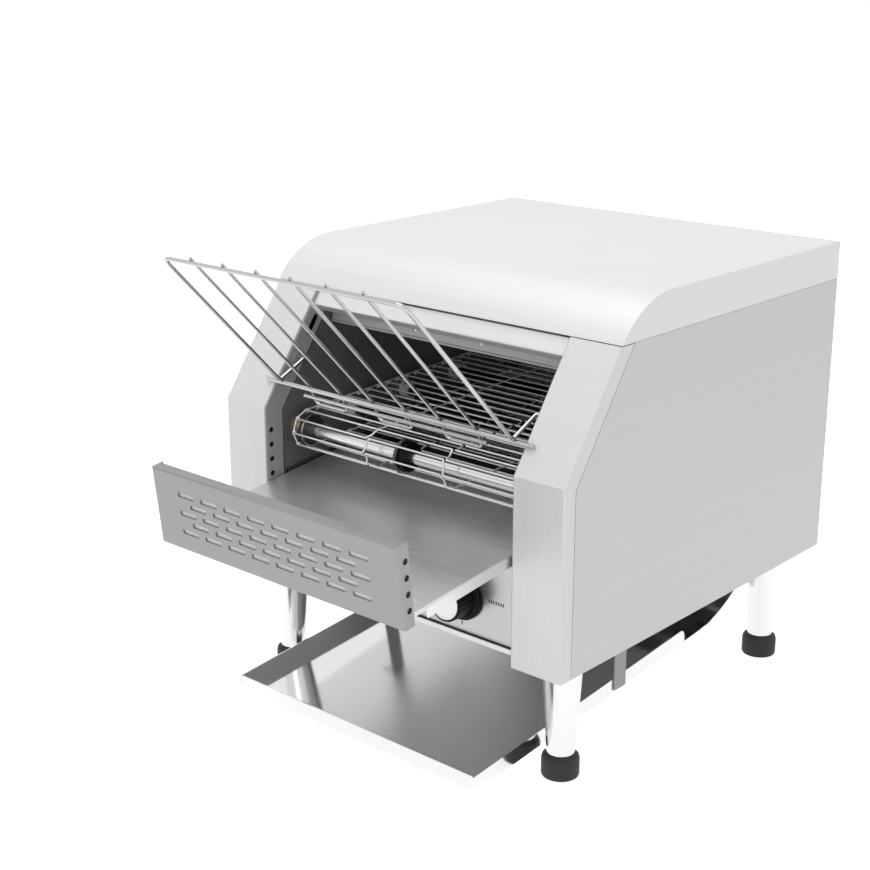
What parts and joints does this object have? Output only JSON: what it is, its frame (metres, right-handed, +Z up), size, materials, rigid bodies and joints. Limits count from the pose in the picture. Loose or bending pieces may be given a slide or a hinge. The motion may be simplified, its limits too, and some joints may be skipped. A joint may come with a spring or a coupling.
{
  "type": "conveyor toaster",
  "caption": "Countertop conveyor toaster on tall legs, with a wire belt, quartz heaters, tilting wire loading rack, sliding perforated tray and a slide below",
  "frame": {"origin": "on the ground, in the middle of the whole object's width and depth", "axes": "+X to the user's right, +Y to the back, +Z up"},
  "size_m": [0.368, 0.526, 0.4093],
  "materials": {
    "sheet_steel": "stainless sheet with a fine brushed grain",
    "bright_steel": "bright annealed stainless sheet, nearly mirror-like",
    "dark_steel": "heat-darkened plain sheet",
    "wire_steel": "bright drawn wire",
    "turned_steel": "bright turned steel",
    "bronze": "sintered bronze",
    "quartz": "clear quartz tube",
    "ceramic": "off-white steatite",
    "black_plastic": "black moulded plastic, satin",
    "knob_metal": "silver disc",
    "control_housing": "moulded switch housing",
    "lamp_plastic": "translucent lens",
    "motor_paint": "plain motor can and gearbox",
    "foot_rubber": "black rubber"
  },
  "bodies": {
    "cabinet": {"base_plate": "sheet_steel", "left_side_panel": "sheet_steel", "right_side_panel": "sheet_steel", "left_front_pillar": "sheet_steel", "right_front_pillar": "sheet_steel", "hood": "sheet_steel", "front_lintel": "sheet_steel", "control_panel": "sheet_steel", "rear_panel": "sheet_steel", "left_chamber_wall": "dark_steel", "right_chamber_wall": "dark_steel", "heat_guard": "sheet_steel", "upper_reflector": "sheet_steel", "compartment_cover": "dark_steel", "tray_rails": "dark_steel", "upper_heater_tubes": "quartz", "lower_heater_tubes": "quartz", "ceramic_ends": "ceramic", "shaft_bushes": "bronze", "belt_rungs": "wire_steel", "belt_links": "wire_steel", "drive_chain": "dark_steel", "gear_motor": "motor_paint", "motor_bracket": "dark_steel", "lower_slide": "bright_steel", "slide_hangers": "sheet_steel", "speed_regulator": "control_housing", "heat_switch": "control_housing", "indicator_lens": "lamp_plastic", "indicator_body": "black_plastic", "legs": "turned_steel", "rubber_feet": "foot_rubber", "leg_nuts": "turned_steel", "cord_gland": "black_plastic", "gland_nut": "black_plastic", "terminal_block": "ceramic", "guard_screws": "turned_steel", "rear_screws": "turned_steel", "hanger_screws": "turned_steel"},
    "toast_tray": {"tray_floor": "sheet_steel", "tray_front": "sheet_steel"},
    "loading_rack": {"rack_frame": "wire_steel", "rack_wires": "wire_steel", "rack_crossbar": "wire_steel", "rack_tie_bar": "wire_steel"},
    "speed_control": {"speed_knob": "black_plastic", "speed_knob_face": "knob_metal"},
    "heat_control": {"heat_knob": "black_plastic", "heat_knob_face": "knob_metal"},
    "front_belt_shaft": {"front_shaft": "turned_steel", "front_sprockets": "turned_steel", "centre_roller": "black_plastic"},
    "rear_belt_shaft": {"rear_shaft": "turned_steel", "rear_sprockets": "turned_steel", "drive_sprocket": "turned_steel"},
    "motor_output": {"motor_shaft": "turned_steel", "motor_sprocket": "turned_steel"}
  },
  "joints": [
    {"name": "tray_slide", "type": "slide", "parent": "cabinet", "child": "toast_tray", "axis": [0, -0.9936, -0.1132], "range_m": [-0.116, 0]},
    {"name": "rack_lift", "type": "hinge", "parent": "cabinet", "child": "loading_rack", "pos_m": [0, -0.0987, 0.29671], "axis": [-1, 0, 0], "range_deg": [0, 88]},
    {"name": "speed_turn", "type": "hinge", "parent": "cabinet", "child": "speed_control", "pos_m": [0.0695, -0.11796, 0.139], "axis": [0, 1, 0], "range_deg": [0, 300]},
    {"name": "heat_turn", "type": "hinge", "parent": "cabinet", "child": "heat_control", "pos_m": [-0.006, -0.11796, 0.139], "axis": [0, 1, 0], "range_deg": [0, 270]},
    {"name": "motor_spin", "type": "hinge", "parent": "cabinet", "child": "motor_output", "pos_m": [0, 0.12217, 0.14126], "axis": [1, 0, 0], "continuous": true},
    {"name": "rear_spin", "type": "hinge", "parent": "cabinet", "child": "rear_belt_shaft", "pos_m": [0, 0.18217, 0.24519], "axis": [1, 0, 0], "continuous": true},
    {"name": "front_spin", "type": "hinge", "parent": "cabinet", "child": "front_belt_shaft", "pos_m": [0, -0.09696, 0.233], "axis": [1, 0, 0], "continuous": true}
  ],
  "couplings": [
    {"joint": "motor_spin", "follows": "rear_spin", "ratio": 1},
    {"joint": "front_spin", "follows": "rear_spin", "ratio": 1}
  ]
}
